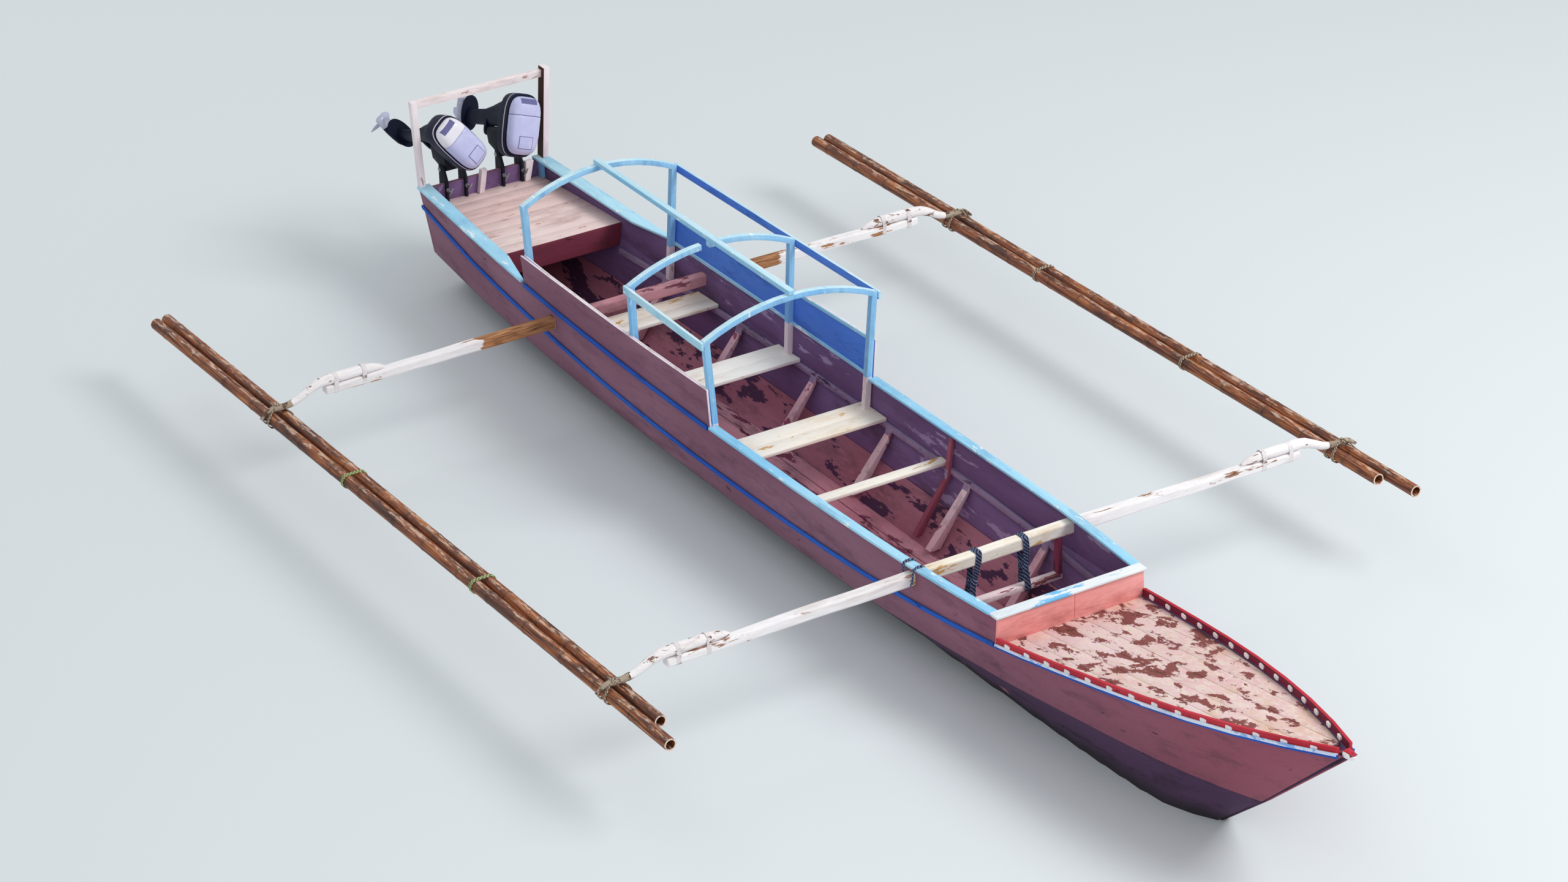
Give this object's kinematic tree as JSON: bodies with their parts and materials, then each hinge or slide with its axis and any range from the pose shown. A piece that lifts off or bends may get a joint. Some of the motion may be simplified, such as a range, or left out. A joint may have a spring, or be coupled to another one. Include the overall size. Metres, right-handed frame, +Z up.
{
  "type": "outrigger canoe",
  "caption": "Long plank canoe with bamboo outrigger floats on crossbeams, an open cabin frame amidships and tilted outboard motors on the transom.",
  "frame": {"origin": "amidships on the centreline, at the waterline of the empty boat", "axes": "+X towards the bow, +Y to port, +Z up"},
  "size_m": [12.4891, 6.48, 2.0343],
  "materials": {
    "bottom_paint": "worn matt paint",
    "topside_paint": "worn matt paint",
    "bow_red_paint": "worn matt paint",
    "blue_paint": "worn satin paint",
    "light_blue_paint": "worn satin paint",
    "salmon_paint": "worn matt paint",
    "deck_paint": "peeling paint",
    "toe_red_paint": "satin paint",
    "panel_paint": "worn matt paint",
    "cream_paint": "worn matt paint",
    "inside_paint": "matt paint",
    "floor_paint": "matt paint",
    "beam_paint": "peeling paint over bare wood",
    "bamboo": "weathered bamboo",
    "pink_white_paint": "worn matt paint",
    "bracket_metal": "satin enamel",
    "motor_enamel": "gloss enamel",
    "cowl_plastic": "gloss",
    "propeller_metal": "worn"
  },
  "bodies": {
    "root": {"keel_and_stem": "bow_red_paint", "bottom_port": "bottom_paint", "bottom_stbd": "bottom_paint", "side_port": "topside_paint", "side_stbd": "topside_paint", "washstrake_port": "topside_paint", "washstrake_stbd": "topside_paint", "transom": "topside_paint", "rub_rail_port": "blue_paint", "rub_rail_stbd": "blue_paint", "bow_rail_port": "light_blue_paint", "bow_rail_stbd": "light_blue_paint", "cabin_rail_port": "blue_paint", "cabin_rail_stbd": "blue_paint", "foredeck": "deck_paint", "toe_rail_port": "toe_red_paint", "toe_rail_stbd": "toe_red_paint", "coaming": "salmon_paint", "cap_front": "light_blue_paint", "cap_side_port": "light_blue_paint", "cap_side_stbd": "light_blue_paint", "cap_stern_port": "light_blue_paint", "cap_stern_stbd": "light_blue_paint", "cabin_panel_port": "panel_paint", "cabin_panel_stbd": "panel_paint", "cabin_bow_aft": "light_blue_paint", "cabin_bow_front": "light_blue_paint", "cabin_bow_mid_port": "light_blue_paint", "cabin_bow_mid_stbd": "light_blue_paint", "ridge": "light_blue_paint", "top_rail_port": "light_blue_paint", "top_rail_stbd": "light_blue_paint", "seat_aft": "cream_paint", "seat_mid": "cream_paint", "seat_front": "cream_paint", "seat_bar": "cream_paint", "riser_port": "inside_paint", "riser_stbd": "inside_paint", "floor_timbers": "inside_paint", "floor_boards": "floor_paint", "crossbeam_front": "beam_paint", "crook_front_port": "beam_paint", "crook_front_stbd": "beam_paint", "crossbeam_rear": "beam_paint", "crook_rear_port": "beam_paint", "crook_rear_stbd": "beam_paint", "float_port": "bamboo", "float_stbd": "bamboo", "stern_deck": "deck_paint", "stern_posts": "pink_white_paint", "clamp_port": "bracket_metal", "clamp_stbd": "bracket_metal"},
    "swivel_port_body": {"swivel_port": "bracket_metal"},
    "motor_port_body": {"motor_leg_port": "motor_enamel", "cowl_port": "cowl_plastic"},
    "prop_port_body": {"propeller_port": "propeller_metal"},
    "swivel_stbd_body": {"swivel_stbd": "bracket_metal"},
    "motor_stbd_body": {"motor_leg_stbd": "motor_enamel", "cowl_stbd": "cowl_plastic"},
    "prop_stbd_body": {"propeller_stbd": "propeller_metal"}
  },
  "joints": [
    {"name": "tilt_port", "type": "hinge", "parent": "root", "child": "swivel_port_body", "pos_m": [-5.748, 0.262, 1.04], "axis": [0, 1, 0], "range_deg": [-72, 0]},
    {"name": "steer_port", "type": "hinge", "parent": "swivel_port_body", "child": "motor_port_body", "pos_m": [-5.80053, 0.262, 1.20168], "axis": [0.9511, 0, 0.309], "range_deg": [-21, 59]},
    {"name": "prop_port", "type": "hinge", "parent": "motor_port_body", "child": "prop_port_body", "pos_m": [-6.63919, 0.3487, 1.19393], "axis": [0.2922, -0.3256, -0.8992], "continuous": true},
    {"name": "tilt_stbd", "type": "hinge", "parent": "root", "child": "swivel_stbd_body", "pos_m": [-5.748, -0.262, 1.04], "axis": [0, 1, 0], "range_deg": [-72, 0]},
    {"name": "steer_stbd", "type": "hinge", "parent": "swivel_stbd_body", "child": "motor_stbd_body", "pos_m": [-5.80053, -0.262, 1.20168], "axis": [0.9511, 0, 0.309], "range_deg": [-77, 3]},
    {"name": "prop_stbd", "type": "hinge", "parent": "motor_stbd_body", "child": "prop_stbd_body", "pos_m": [-6.6271, -0.42226, 1.15673], "axis": [0.2468, 0.6018, -0.7595], "continuous": true}
  ]
}
